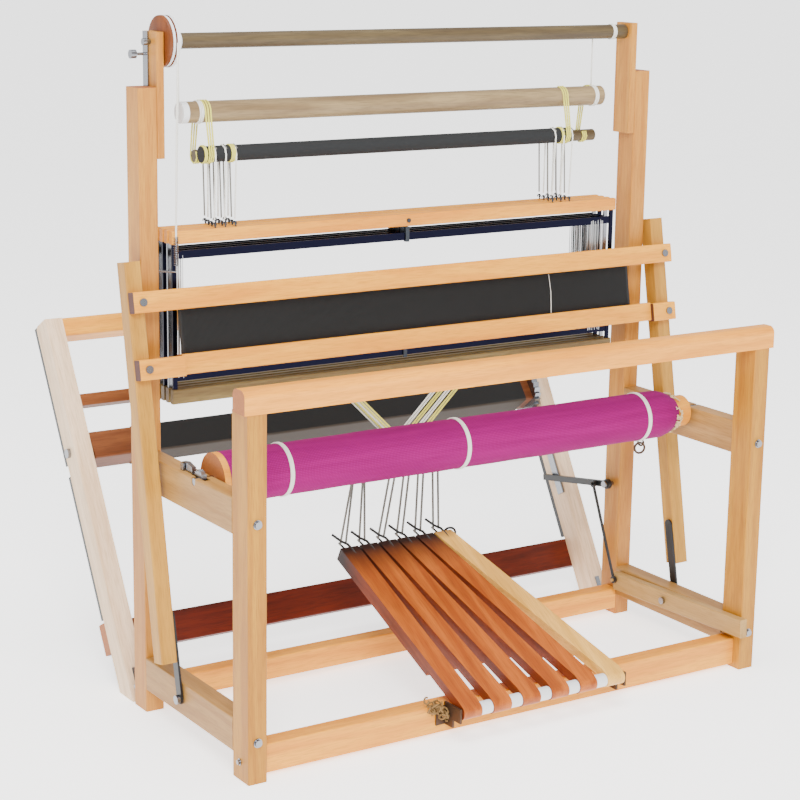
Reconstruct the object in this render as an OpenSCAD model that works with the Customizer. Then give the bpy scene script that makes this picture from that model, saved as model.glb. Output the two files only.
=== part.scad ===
// Four-shaft folding counterbalance floor loom.
// X runs across the weaving width, Y from the weaver's side (front) to the back, Z up from the floor.
// The origin is on the floor, in the middle of the loom's width and depth.
// "Depth" values are distances behind the front face of the front posts.

/* [Frame] */
// Width over the outer faces of the posts
frame_w = 1100; // [1000:10:1400]
// Width of a post, across the loom
post_w = 35; // [32:1:38]
// Depth of a front post
post_d = 55; // [50:1:60]
// Height of the front posts, up to the breast beam
post_h = 625; // [600:5:650]
// Height of the breast beam's section
breast_h = 40; // [36:1:46]
// Depth of the castle posts' front faces
castle_d = 379; // [375:1:383]
// Depth of a castle post's section
castle_post_d = 49; // [45:1:52]
// Height of the castle posts
castle_h = 1108; // [1080:1:1120]
// Rounding of the timbers' long edges
ease = 2.5; // [1:0.5:4]

/* [Back frame] */
// Lean of the back legs from upright
leg_lean = 29.2; // [27:0.1:31]
// Length of a back leg along its front face
leg_len = 739; // [720:1:750]
// Depth of a back leg's section
leg_d = 48; // [44:1:50]

/* [Beater] */
// Backward lean of the beater at rest
beater_lean = 10.4; // [9:0.1:11]
// Length from the beater's pivot to the top of its swords
sword_len = 757; // [740:1:770]

/* [Harness] */
// Distance between neighbouring shafts
shaft_pitch = 18; // [17:0.5:19]
// Length of a shaft's bars
shaft_len = 964; // [950:1:970]
// Radius of the upper roller
upper_r = 18.5; // [16:0.5:20]
// Radius of the front roller
front_roller_r = 14; // [12:0.5:15]
// Radius of the rear roller
rear_roller_r = 11; // [9:0.5:12]

/* [Treadles] */
// Width of a treadle
treadle_w = 38; // [34:1:44]
// Thickness of a treadle
treadle_t = 27; // [24:1:28]
// Length of a treadle behind its axle
treadle_len = 415; // [400:5:420]
// Slope of the treadles at rest
treadle_slope = 27.5; // [26:0.5:29]

/* [Cloth] */
// Radius of the woven cloth wound on the cloth beam
cloth_r = 46; // [40:1:50]

/* [Hidden] */
$fn = 48;

// Depth of the whole loom is centred on the origin
front_y = -407;

half_w = frame_w / 2;
inner_w = half_w - post_w;
run_clear = 0.05;

// Wood colours, steel and cord colours
MAPLE = [0.91, 0.74, 0.50];
PALE = [0.92, 0.85, 0.76];
REDWOOD = [0.52, 0.22, 0.14];
ROLLER = [0.66, 0.58, 0.48];
STEEL = [0.72, 0.72, 0.75];
BLACK = [0.08, 0.08, 0.09];
CORD = [0.93, 0.92, 0.82];
MAGENTA = [0.66, 0.14, 0.52];

// Breast beam
breast_over = 7;
breast_d0 = -2;
breast_d1 = 38;
breast_r = 13;

// Low rails
front_rail_d = [19, 54];
front_rail_z = [6, 58];
side_rail_w = 36;
side_rail_z = [42, 102];
castle_rail_d = [379, 411];
castle_rail_z = [13, 56];

// Upper rails carry the cloth beam
upper_rail_w = 34;
upper_rail_z = [417, 479];
cloth_axis = [190, 472];
cloth_axle_r = 6.5;
// The roll is straight along roll_straight, then loses roll_taper of its radius by its end
roll_straight = 941;
roll_len = 975;
roll_taper = 14;
cloth_core_r = 30;
ratchet_slot_x = [-542, -530];
ratchet_slot_d = [164, 216];
ratchet_slot_z = 446;
pawl_at = [243, 488];
pawl_x = [-540, -532];
pawl_pin_r = 2.5;
cloth_disc_r = 45;
cloth_disc_x = [-513, -501];

// Castle top
ext_t = 14;
ext_z = [988, 1200];
shaft_axis = [403.5, 1183];
shaft_r = 13.5;
shaft_pin_r = 4;
disk_x = [-499, -479];
disk_r = 44;
strap_t = 3;
regulator_x = -492;
spring_d = 360;

// Rollers, each [depth, height] of its axis
upper_axis = [404, 1062];
upper_x = [-460, 446];
lift_cord_x = [-455, 436];
front_roller_axis = [386, 991];
front_roller_x = [-430, 362];
rear_roller_axis = [424, 984];
rear_roller_x = [-424, 447];

// Shafts
shaft_x0 = -494;
shaft_first_d = 377;
shaft_t = 12;
top_bar_z = [841, 864];
low_bar_z = [560, 586];
top_heddle_z = [815, 829];
low_heddle_z = [600, 613];
side_bar_in = 6;
side_bar_r = 2.5;
left_heddles_x = [-484, -474];
right_heddles_x = [408, 448];
heddle_t = 2;
lamm_x = [-140, 130];
tie_fan = 40;
lamm_z = [404, 428];
lamm_t = 9;
v_cord_x = 142;
cord_r = 1.2;
// Gap between a cord's end and the bar it is tied to
knot_gap = 1.3;
harness_cord_left = [-412, -392, -372];
harness_cord_right = [316, 336, 356];

// Treadles
treadle_count = 6;
axle_d = -22;
axle_z = 54;
axle_r = 4;
treadle_front_x = -127;
treadle_front_pitch = 63;
treadle_rear_x = -152;
treadle_rear_pitch = 41.5;
// The nose is straight beside the spacers, and the bar slants behind it
skew_from = 14;
notch_from = 17;
notch_to = 105;
notch_deep = 9;
hook_r = 2;
hook_len = 34;

// Beater
pivot_d = 238;
pivot_z = 73;
sword_x = [556, 586];
sword_y = [-8, 24];
sword_foot = 66;
batten_half = 585;
handtree_y = [-29, -8];
handtree_z = [669, 705];
race_z = [555, 590];
race_mid_y = [-20, 2];
race_mid_x = [-499, 530];
reed_half = 490;
reed_y = [-6, 2];
pivot_pin_r = 4;

// Back frame, in the legs' own leaning frame: y behind the front face, z along the leg
leg_foot_d = 435;
hinge_at = [433, 30];
hinge_r = 4;
hinge_pin_r = 2;
hinge_x = [518, 547];
hinge_knuckle = 9;
leaf_t = 1.5;
strip_t = 14;
warp_y = 28;
warp_s = 482;
warp_side = 54;
warp_turn = 38.4;
warp_axle_r = 9;
apron_x = [-425, 478];
apron_t = 1.6;
ratchet_x = [497, 511];

// Brake release
pedal_x = [497, 513.5];
pedal_pivot = [208, 82];
pedal_tilt = -1.7;
rod_low = [357, 84];
rod_high = [435, 268];
rod_x = 491;
rod_eye_r = 7;
rod_pin_r = 3;
rod_pin_gap = 0.7;
lever_x = [497, 505];
lever_pivot = [402, 274];
lever_end = [613, 239];

function arc(c, r, a0, a1, n) = [for (i = [0:n]) c + r * [cos(a0 + (a1 - a0) * i / n), sin(a0 + (a1 - a0) * i / n)]];

// Outline of a timber's section with eased corners
function eased(a, b, r) = concat(
    arc([b[0] - r, b[1] - r], r, 0, 90, 3), arc([a[0] + r, b[1] - r], r, 90, 180, 3),
    arc([a[0] + r, a[1] + r], r, 180, 270, 3), arc([b[0] - r, a[1] + r], r, 270, 360, 3));

// Timber along X: x = [from, to], d = depth range, z = height range
module timber_x(x, d, z, r = ease) {
    translate([x[0], front_y, 0])
        rotate([90, 0, 90])
            linear_extrude(x[1] - x[0])
                polygon(eased([d[0], z[0]], [d[1], z[1]], r));
}

// Timber along Y
module timber_y(x, d, z, r = ease) {
    translate([0, front_y + d[1], 0])
        rotate([90, 0, 0])
            linear_extrude(d[1] - d[0])
                polygon(eased([x[0], z[0]], [x[1], z[1]], r));
}

// Upright timber
module timber_z(x, d, z, r = ease) {
    translate([0, front_y, z[0]])
        linear_extrude(z[1] - z[0])
            polygon(eased([x[0], d[0]], [x[1], d[1]], r));
}

// Round bar along X at [depth, height]
module rod_along_x(x, at, r) {
    translate([x[0], front_y + at[0], at[1]])
        rotate([0, 90, 0])
            cylinder(r = r, h = x[1] - x[0]);
}

// Eight-sided strand between two points given as [x, depth, z]
module strand(p, q, r = cord_r) {
    v = q - p;
    len = norm(v);
    translate([p[0], front_y + p[1], p[2]])
        rotate([0, acos(v[2] / len), atan2(v[1], v[0])])
            cylinder(r = r, h = len, $fn = 8);
}

// Bolt with a washer and a domed head, its axis along +Y out of a front face
module bolt_front(x, d, z, r = 6) {
    translate([x, front_y + d, z])
        rotate([90, 0, 0]) {
            cylinder(r = r + 2, h = 1.2);
            cylinder(r = r, h = 5);
        }
}

// Bolt on a side face, side = -1 for the left
module bolt_side(side, x, d, z, r = 6) {
    translate([side * x, front_y + d, z])
        rotate([0, side * 90, 0]) {
            cylinder(r = r + 2, h = 1.2);
            cylinder(r = r, h = 5);
        }
}

module front_post(side) {
    timber_z([side > 0 ? inner_w : -half_w, side > 0 ? half_w : -inner_w], [0, post_d], [0, post_h]);
}

module front_post_left() {
    color(MAPLE) front_post(-1);
}

module front_post_right() {
    color(MAPLE) front_post(1);
}

// The beam's upper edges are well rounded for the cloth to pass over
module breast_beam() {
    z1 = post_h + breast_h;
    outline = concat(
        [[breast_d0, post_h], [breast_d1, post_h]],
        arc([breast_d1 - breast_r, z1 - breast_r], breast_r, 0, 90, 8),
        arc([breast_d0 + breast_r, z1 - breast_r], breast_r, 90, 180, 8));
    color(MAPLE)
        translate([-half_w - breast_over, front_y, 0])
            rotate([90, 0, 90])
                linear_extrude(frame_w + 2 * breast_over)
                    polygon(outline);
}

module front_rail() {
    color(MAPLE) timber_x([-inner_w, inner_w], front_rail_d, front_rail_z);
}

module side_rails() {
    color(MAPLE)
        for (side = [-1, 1])
            timber_y(side > 0 ? [half_w - side_rail_w, half_w] : [-half_w, side_rail_w - half_w],
                [post_d, castle_d], side_rail_z);
}

// The left upper rail is slotted for the cloth beam's ratchet
module upper_rails() {
    color(MAPLE)
        difference() {
            for (side = [-1, 1])
                timber_y(side > 0 ? [half_w - upper_rail_w, half_w] : [-half_w, upper_rail_w - half_w],
                    [post_d, castle_d], upper_rail_z);
            rod_along_x([-half_w - 1, half_w + 1], cloth_axis, cloth_axle_r + run_clear);
            translate([-half_w - 1, front_y + cloth_axis[0] - cloth_axle_r - run_clear, cloth_axis[1]])
                cube([frame_w + 2, 2 * (cloth_axle_r + run_clear), 20]);
            translate([ratchet_slot_x[0], front_y + ratchet_slot_d[0], ratchet_slot_z])
                cube([ratchet_slot_x[1] - ratchet_slot_x[0], ratchet_slot_d[1] - ratchet_slot_d[0], 40]);
        }
}

module castle_posts() {
    color(MAPLE)
        for (side = [-1, 1])
            timber_z([side > 0 ? inner_w : -half_w, side > 0 ? half_w : -inner_w],
                [castle_d, castle_d + castle_post_d], [0, castle_h]);
}

// Slim boards inside the posts that carry the top shaft
module castle_extensions() {
    color(MAPLE)
        difference() {
            for (side = [-1, 1])
                timber_z(side > 0 ? [inner_w - ext_t, inner_w] : [-inner_w, ext_t - inner_w],
                    [castle_d, castle_d + castle_post_d], ext_z, 2);
            rod_along_x([-half_w, half_w], shaft_axis, shaft_pin_r + run_clear);
        }
}

module castle_rail() {
    color(MAPLE) timber_x([-inner_w, inner_w], castle_rail_d, castle_rail_z);
}

// Steel strap above the left post, with the pin and knob that lock the extension
module castle_strap() {
    color(STEEL) {
        translate([-inner_w - strap_t, front_y + 408, castle_h])
            cube([strap_t, 18, ext_z[1] - castle_h]);
        rod_along_x([-536, -inner_w - strap_t], [417, 1162], 2.5);
        rod_along_x([-546, -536], [417, 1162], 7.5);
    }
}

// Steel rod on two brackets in front of the front rail
module treadle_axle() {
    last_x = treadle_front_x + (treadle_count - 1) * treadle_front_pitch;
    x0 = treadle_front_x - treadle_w / 2;
    x1 = last_x + treadle_w / 2;
    color(STEEL) {
        rod_along_x([x0 - 6, x1 + 6], [axle_d, axle_z], axle_r);
        for (x = [x0 - 6, x1 + 2])
            difference() {
                translate([x, front_y + axle_d - 9, 22])
                    cube([4, 19 - axle_d + 9, 41]);
                translate([x - 1, front_y + axle_d - 10, 21])
                    cube([6, 24, 16]);
            }
        for (x = [x0 - 24, x1 + 6])
            translate([x, front_y + 16, 22])
                cube([18, 3, 34]);
    }
}

module treadle_spacers() {
    color("white")
        difference() {
            for (i = [1:treadle_count - 1])
                rod_along_x([treadle_front_x + (i - 1) * treadle_front_pitch + treadle_w / 2 + 0.5,
                    treadle_front_x + i * treadle_front_pitch - treadle_w / 2 - 0.5],
                    [axle_d, axle_z], 12);
            rod_along_x([-300, 300], [axle_d, axle_z], axle_r);
        }
}

module frame_bolts() {
    color(STEEL) {
        for (side = [-1, 1]) {
            bolt_front(side * (half_w - 17), 0, 444);
            bolt_front(side * (half_w - 17), 0, 72);
            bolt_side(side, half_w, 30, 32, 4);
            rod_along_x(side > 0 ? [half_w, half_w + 6.5] : [-half_w - 6.5, -half_w],
                [pivot_d, pivot_z], pivot_pin_r);
            rod_along_x(side > 0 ? [half_w + 6.5, half_w + 13] : [-half_w - 13, -half_w - 6.5],
                [pivot_d, pivot_z], 8);
        }
        // Pins of the brake pedal and the brake lever
        rod_along_x([pedal_x[0] - 1, half_w - side_rail_w], pedal_pivot, 4);
        rod_along_x([pedal_x[0] - 6, pedal_x[0] - 1], pedal_pivot, 7);
        rod_along_x([lever_x[0] - 1, inner_w], lever_pivot, 4);
        rod_along_x([lever_x[0] - 6, lever_x[0] - 1], lever_pivot, 7);
        // Cheeks and pin of the cloth beam's pawl
        rod_along_x([pawl_x[0] - 3, pawl_x[1] + 3], pawl_at, pawl_pin_r);
        for (x = [pawl_x[0] - 4, pawl_x[1] + 1.5])
            translate([x, front_y + pawl_at[0] - 5, upper_rail_z[1]])
                cube([2.5, 10, pawl_at[1] + 4 - upper_rail_z[1]]);
        // Dome nut of the top shaft's left pin
        rod_along_x([-inner_w - 14, -inner_w - 7], shaft_axis, 6);
    }
}

// Fixed halves of the hinges on which the back frame folds: a leaf on each castle post,
// two knuckles and the pin
module fold_hinges() {
    leaf_d = castle_d + castle_post_d;
    color(STEEL)
        for (side = [-1, 1]) {
            x0 = side > 0 ? hinge_x[0] : -hinge_x[1];
            x1 = x0 + hinge_x[1] - hinge_x[0];
            translate([x0, front_y + leaf_d, hinge_at[1] + 6])
                cube([x1 - x0, leaf_t, 34]);
            for (x = [x0, x1 - hinge_knuckle]) {
                rod_along_x([x, x + hinge_knuckle], hinge_at, hinge_r);
                translate([x, front_y + leaf_d, hinge_at[1]])
                    cube([hinge_knuckle, leaf_t, 8]);
            }
            rod_along_x([x0, x1], hinge_at, hinge_pin_r);
        }
}

// Depth of shaft k, counted from the front
function shaft_d(k) = shaft_first_d + (k - 1) * shaft_pitch;

function treadle_x_front(k) = treadle_front_x + (k - 1) * treadle_front_pitch;
function treadle_x_rear(k) = treadle_rear_x + (k - 1) * treadle_rear_pitch;
function hook_d() = axle_d + (treadle_len + 12) * cos(treadle_slope);
function hook_z() = axle_z + (treadle_len + 12) * sin(treadle_slope);

// Which lamms each treadle is tied to
TIES = [[1, 2], [3, 4], [1, 1], [2, 2], [3, 3], [4, 4]];

// Cords from the rollers to the shafts, from the shafts to the lamms and from the lamms to the treadles
module harness_cords() {
    color(CORD) {
        for (k = [1:4], x = concat(harness_cord_left, harness_cord_right)) {
            near_front = k <= 2;
            axis = near_front ? front_roller_axis : rear_roller_axis;
            r = near_front ? front_roller_r : rear_roller_r;
            away = (k == 1 || k == 3) ? -1 : 1;
            strand([x + 3 * k, axis[0] + away * (r + cord_r + 0.4), axis[1]],
                [x + 3 * k, shaft_d(k), top_bar_z[1] + knot_gap]);
        }
        for (k = [1:4], side = [-1, 1], gap = [0, 7])
            strand([side * (v_cord_x + gap), shaft_d(k), low_bar_z[0] - knot_gap],
                [side * (4 + gap), shaft_d(k), lamm_z[1] + knot_gap]);
        for (t = [1:treadle_count], i = [0, 1])
            strand([treadle_x_rear(t) + 12 * i - 6 + tie_fan, shaft_d(TIES[t - 1][i]), lamm_z[0] - knot_gap],
                [treadle_x_rear(t) + 12 * i - 6, hook_d() + 6, hook_z() + hook_r + cord_r + 0.3]);
        // Cord of the shed regulator, off the disk's front
        strand([regulator_x, shaft_axis[0] - disk_r - cord_r - 0.4, shaft_axis[1]], [regulator_x, spring_d, 856]);
    }
}

// Spring and eye that anchor the regulator cord to the left castle post
module regulator_spring() {
    color(STEEL) {
        rod_z(regulator_x, spring_d, 806, 856, 5);
        strand([regulator_x, spring_d, 806], [regulator_x, spring_d, 796], 1.5);
        strand([regulator_x, spring_d, 796], [1 - inner_w, 381, 796], 2);
    }
}

module rod_z(x, d, z0, z1, r) {
    translate([x, front_y + d, z0])
        cylinder(r = r, h = z1 - z0);
}

// Wooden beam with an end disc and steel axles
module cloth_beam() {
    color(MAPLE) {
        rod_along_x([cloth_disc_x[1], 505], cloth_axis, cloth_core_r);
        rod_along_x(cloth_disc_x, cloth_axis, cloth_disc_r);
        rod_along_x([1 - half_w, half_w - 1], cloth_axis, cloth_axle_r);
    }
}

// Woven cloth wound on the beam, tapering at the right end
module cloth_roll() {
    color(MAGENTA)
        translate([cloth_disc_x[1], front_y + cloth_axis[0], cloth_axis[1]])
            rotate([90, 0, 90])
                rotate_extrude()
                    polygon([[cloth_core_r, 0], [cloth_r, 0], [cloth_r, roll_straight],
                        [cloth_r - roll_taper, roll_len], [cloth_core_r, roll_len]]);
}

function ring_teeth(n, r0, r1) = [for (i = [0:n - 1], s = [0, 1])
    (s == 0 ? r0 : r1) * [cos(360 * i / n), sin(360 * i / n)]];

module cloth_ratchet() {
    color(STEEL)
        difference() {
            translate([-540, front_y + cloth_axis[0], cloth_axis[1]])
                rotate([90, 0, 90])
                    linear_extrude(8)
                        polygon(ring_teeth(16, 16, 20));
            rod_along_x([-545, -525], cloth_axis, cloth_axle_r);
        }
}

// Pawl behind the ratchet, on a pin above the rail
module cloth_pawl() {
    color(STEEL)
        difference() {
            translate([pawl_x[0], front_y + pawl_at[0], pawl_at[1]])
                rotate([90, 0, 90])
                    linear_extrude(pawl_x[1] - pawl_x[0])
                        polygon([[-31, -10], [-29, 2], [-8, 7], [7, 5], [9, -3], [4, -6], [-6, -7], [-25, -7.5]]);
            rod_along_x([pawl_x[0] - 1, pawl_x[1] + 1], pawl_at, pawl_pin_r + run_clear);
        }
}

// The back legs lean: z runs along the leg, y behind its front face
module leaning() {
    translate([0, front_y + leg_foot_d, 0])
        rotate([-leg_lean, 0, 0])
            children();
}

// Block in the leaning frame
module lean_block(x, y, z) {
    leaning()
        translate([x[0], y[0], z[0]])
            cube([x[1] - x[0], y[1] - y[0], z[1] - z[0]]);
}

module rear_leg(side) {
    x = side > 0 ? [inner_w, half_w] : [-half_w, -inner_w];
    foot = leg_d * tan(leg_lean);
    difference() {
        leaning()
            translate([x[0], 0, 0])
                rotate([90, 0, 90])
                    linear_extrude(post_w)
                        polygon(concat([[0, 0], [leg_d, foot]],
                            arc([leg_d - 9, leg_len - 9], 9, 0, 90, 5), [[0, leg_len]]));
        leaning()
            translate([x[0] - 1, warp_y, warp_s])
                rotate([0, 90, 0])
                    cylinder(r = warp_axle_r + run_clear, h = post_w + 2);
    }
}

module rear_leg_left() {
    color(PALE) rear_leg(-1);
}

module rear_leg_right() {
    color(PALE) rear_leg(1);
}

module back_beam() {
    color(MAPLE)
        leaning()
            translate([-inner_w, 0, 0])
                rotate([90, 0, 90])
                    linear_extrude(2 * inner_w)
                        polygon(eased([0, leg_len - 36], [leg_d, leg_len], 5));
}

module rear_rail() {
    color(REDWOOD)
        leaning()
            translate([-half_w, 0, 0])
                rotate([90, 0, 90])
                    linear_extrude(frame_w)
                        polygon(eased([leg_d, 100], [leg_d + 26, 159], ease));
}

module rear_spreader() {
    color(REDWOOD) lean_block([-inner_w, inner_w], [8, 30], [565, 588]);
}

// Black battens down the legs' back faces, the feet's brackets and the brake's channel
module leg_straps() {
    color(BLACK)
        for (x = [-half_w + 2, inner_w + 2]) {
            lean_block([x, x + post_w - 4], [leg_d, leg_d + strip_t], [465, leg_len]);
            lean_block([x, x + post_w - 4], [leg_d, leg_d + strip_t], [165, 443]);
        }
    color(STEEL) {
        lean_block([inner_w - 5, inner_w], [4, 22], [250, 420]);
        for (side = [-1, 1]) {
            x0 = (side > 0 ? hinge_x[0] : -hinge_x[1]) + hinge_knuckle + 0.4;
            x1 = (side > 0 ? hinge_x[1] : -hinge_x[0]) - hinge_knuckle - 0.4;
            difference() {
                union() {
                    rod_along_x([x0, x1], hinge_at, hinge_r);
                    translate([x0, front_y + hinge_at[0], hinge_at[1] + hinge_r - leaf_t])
                        cube([x1 - x0, 20, leaf_t]);
                    lean_block([x0, x1], [-leaf_t, 0], [28, 62]);
                }
                rod_along_x([x0 - 1, x1 + 1], hinge_at, hinge_pin_r + run_clear);
            }
        }
    }
}

// Square beam turning between the legs, with a dark red finish
module warp_beam() {
    color(REDWOOD)
        leaning()
            translate([0, warp_y, warp_s]) {
                translate([-inner_w + 2, 0, 0])
                    rotate([leg_lean - warp_turn, 0, 0])
                        rotate([90, 0, 90])
                            linear_extrude(2 * inner_w - 4)
                                polygon(eased([-warp_side / 2, -warp_side / 2], [warp_side / 2, warp_side / 2], 4));
                translate([-half_w - 6, 0, 0])
                    rotate([0, 90, 0])
                        cylinder(r = warp_axle_r, h = frame_w + 12);
            }
}

// Apron cloth wound round the beam
module warp_apron() {
    out = warp_side / 2 + apron_t;
    color(BLACK)
        leaning()
            translate([apron_x[0], warp_y, warp_s])
                rotate([leg_lean - warp_turn, 0, 0])
                    rotate([90, 0, 90])
                        linear_extrude(apron_x[1] - apron_x[0])
                            difference() {
                                polygon(eased([-out, -out], [out, out], 4 + apron_t));
                                polygon(eased([-warp_side / 2, -warp_side / 2], [warp_side / 2, warp_side / 2], 4));
                            }
}

module warp_ratchet() {
    color(STEEL)
        leaning()
            translate([0, warp_y, warp_s])
                rotate([leg_lean - warp_turn, 0, 0])
                    translate([ratchet_x[0], 0, 0])
                        rotate([90, 0, 90])
                            linear_extrude(ratchet_x[1] - ratchet_x[0])
                                difference() {
                                    polygon(ring_teeth(24, 42, 47));
                                    polygon(eased([-warp_side / 2, -warp_side / 2],
                                        [warp_side / 2, warp_side / 2], 4));
                                }
}

// Long wooden pedal along the right side rail, with the pin that lifts the rod
module brake_pedal() {
    color(PALE)
        difference() {
            translate([0, front_y + pedal_pivot[0], pedal_pivot[1]])
                rotate([pedal_tilt, 0, 0])
                    translate([0, -front_y, 0])
                        timber_y(pedal_x, [-226, 158], [-17, 19]);
            rod_along_x([pedal_x[0] - 1, pedal_x[1] + 1], pedal_pivot, 4 + run_clear);
        }
    color(STEEL) rod_along_x([rod_x - 7, pedal_x[0] + 4], rod_low, rod_pin_r);
}

// Black steel rod with an eye at each end
module brake_rod() {
    color(BLACK)
        difference() {
            union() {
                strand([rod_x, rod_low[0], rod_low[1]], [rod_x, rod_high[0], rod_high[1]], 3);
                for (at = [rod_low, rod_high])
                    rod_along_x([rod_x - 3, rod_x + 3], at, rod_eye_r);
            }
            for (at = [rod_low, rod_high])
                rod_along_x([rod_x - 4, rod_x + 4], at, rod_pin_r + rod_pin_gap);
        }
}

// Flat lever pinned to the right castle post, lifted by the rod
module brake_lever() {
    reach = norm(lever_end - lever_pivot);
    slope = atan2(lever_end[1] - lever_pivot[1], lever_end[0] - lever_pivot[0]);
    color(BLACK) {
        difference() {
            translate([lever_x[0], front_y + lever_pivot[0], lever_pivot[1]])
                rotate([slope, 0, 0])
                    union() {
                        translate([0, 0, -6])
                            cube([lever_x[1] - lever_x[0], reach, 12]);
                        rotate([0, 90, 0])
                            cylinder(r = 10, h = lever_x[1] - lever_x[0]);
                    }
            rod_along_x([lever_x[0] - 1, lever_x[1] + 1], lever_pivot, 4 + run_clear);
        }
        rod_along_x([rod_x - 7, lever_x[0] + 2], rod_high, rod_pin_r);
    }
}

// The beater's own frame: z up the swords from the pivot, y behind them
module beater_frame() {
    translate([0, front_y + pivot_d, pivot_z])
        rotate([-beater_lean, 0, 0])
            children();
}

module beater_bar(x, y, z, r = ease) {
    beater_frame()
        translate([x[0], 0, 0])
            rotate([90, 0, 90])
                linear_extrude(x[1] - x[0])
                    polygon(eased([y[0], z[0]], [y[1], z[1]], r));
}

module sword(side) {
    x = side > 0 ? sword_x : [-sword_x[1], -sword_x[0]];
    beater_frame()
        translate([0, 0, sword_foot])
            linear_extrude(sword_len - sword_foot)
                polygon(eased([x[0], sword_y[0]], [x[1], sword_y[1]], ease));
}

module sword_left() {
    color(MAPLE) sword(-1);
}

module sword_right() {
    color(MAPLE) sword(1);
}

module handtree() {
    color(MAPLE) beater_bar([-batten_half, batten_half], handtree_y, handtree_z);
}

// The race has full blocks at its ends and is set back between them
module race_beam() {
    color(MAPLE) {
        beater_bar([-batten_half, race_mid_x[0]], handtree_y, race_z);
        beater_bar([race_mid_x[1], batten_half], handtree_y, race_z);
        beater_bar([race_mid_x[0] - 1, race_mid_x[1] + 1], race_mid_y, [race_z[0] + 2, race_z[1] + 2]);
    }
}

module reed() {
    color([0.2, 0.2, 0.2])
        beater_frame()
            translate([-reed_half, reed_y[0], race_z[1] + 2])
                cube([2 * reed_half, reed_y[1] - reed_y[0], handtree_z[0] - race_z[1] - 2]);
}

// Steel pivot straps on the swords' inner faces, and the bolts of the beater's bars
module sword_straps() {
    color(REDWOOD)
        for (side = [-1, 1])
            difference() {
                beater_frame()
                    translate([side > 0 ? half_w + 2 : -half_w - 6, 0, 0])
                        rotate([90, 0, 90])
                            linear_extrude(4)
                                polygon(concat(arc([0, 0], 9, 180, 360, 10), arc([4, 146], 9, 0, 180, 10)));
                rod_along_x(side > 0 ? [half_w, half_w + 7] : [-half_w - 7, -half_w],
                    [pivot_d, pivot_z], pivot_pin_r + run_clear);
            }
    color(STEEL)
        for (x = [-568, 568], z = [race_z[0] + 18, handtree_z[0] + 18])
            beater_frame()
                translate([x, handtree_y[0], z])
                    rotate([90, 0, 0])
                        cylinder(r = 7, h = 3);
}

// Dowel between the extensions, turning on steel pins
module top_shaft() {
    color(ROLLER) {
        rod_along_x([disk_x[1], inner_w - ext_t - 1], shaft_axis, shaft_r);
        rod_along_x([-inner_w - 6, inner_w + 5], shaft_axis, shaft_pin_r);
    }
}

module shaft_disk() {
    color(REDWOOD)
        difference() {
            rod_along_x(disk_x, shaft_axis, disk_r);
            rod_along_x([disk_x[0] - 1, disk_x[1] + 1], shaft_axis, shaft_pin_r);
        }
}

// Cords that hang the upper roller from the top shaft
module lift_cords() {
    d = shaft_axis[0] + shaft_r + 2;
    roller_top = sqrt(pow(upper_r, 2) - pow(d - upper_axis[0], 2));
    color(CORD)
        for (x = lift_cord_x)
            strand([x, d, shaft_axis[1]], [x, d, upper_axis[1] + roller_top + 2.5], 1.5);
}

module upper_roller() {
    color(ROLLER) rod_along_x(upper_x, upper_axis, upper_r);
}

// Yellow loops over the upper roller that carry a lower roller
module roller_loops(xs, axis, r, away) {
    for (x = xs, s = [0, 6])
        strand([x + s, upper_axis[0] + away * (upper_r + 2.2), upper_axis[1]],
            [x + s, upper_axis[0] + away * (upper_r + 2.2), axis[1] + r + 0.4], 1.6);
}

module front_roller_cords() {
    color([0.9, 0.88, 0.6]) roller_loops([-416, 350], front_roller_axis, front_roller_r, -1);
}

module rear_roller_cords() {
    color([0.9, 0.88, 0.6]) roller_loops([-420, 420], rear_roller_axis, rear_roller_r, 1);
}

module front_roller() {
    color(BLACK) rod_along_x(front_roller_x, front_roller_axis, front_roller_r);
}

module rear_roller() {
    color(ROLLER) rod_along_x(rear_roller_x, rear_roller_axis, rear_roller_r);
}

// Wooden bars of shaft k, and the floating lamm that hangs from it
module shaft(k) {
    d = shaft_d(k);
    color(MAPLE) {
        timber_x([shaft_x0, shaft_x0 + shaft_len], [d - shaft_t / 2, d + shaft_t / 2], top_bar_z, 2);
        timber_x([shaft_x0, shaft_x0 + shaft_len], [d - shaft_t / 2, d + shaft_t / 2], low_bar_z, 2);
        timber_x(lamm_x, [d - lamm_t / 2, d + lamm_t / 2], lamm_z, 2);
    }
}

// Steel parts of shaft k: side bars, heddle bars and the heddles pushed to both ends
module heddles(k) {
    d = shaft_d(k);
    x0 = shaft_x0 + side_bar_in;
    x1 = shaft_x0 + shaft_len - side_bar_in;
    color(STEEL)
        {
            for (x = [x0, x1])
                rod_z(x, d, low_bar_z[1], top_bar_z[0], side_bar_r);
            for (x = [left_heddles_x, right_heddles_x])
                translate([x[0], front_y + d - 3, low_heddle_z[1]])
                    cube([x[1] - x[0], 6, top_heddle_z[0] - low_heddle_z[1]]);
        }
    color([0.2, 0.22, 0.4])
        for (z = [top_heddle_z, low_heddle_z])
            translate([x0, front_y + d - heddle_t / 2, z[0]])
                cube([x1 - x0, heddle_t, z[1] - z[0]]);
}

module shaft_1() {
    shaft(1);
}

module shaft_2() {
    shaft(2);
}

module shaft_3() {
    shaft(3);
}

module shaft_4() {
    shaft(4);
}

module heddles_1() {
    heddles(1);
}

module heddles_2() {
    heddles(2);
}

module heddles_3() {
    heddles(3);
}

module heddles_4() {
    heddles(4);
}

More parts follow.
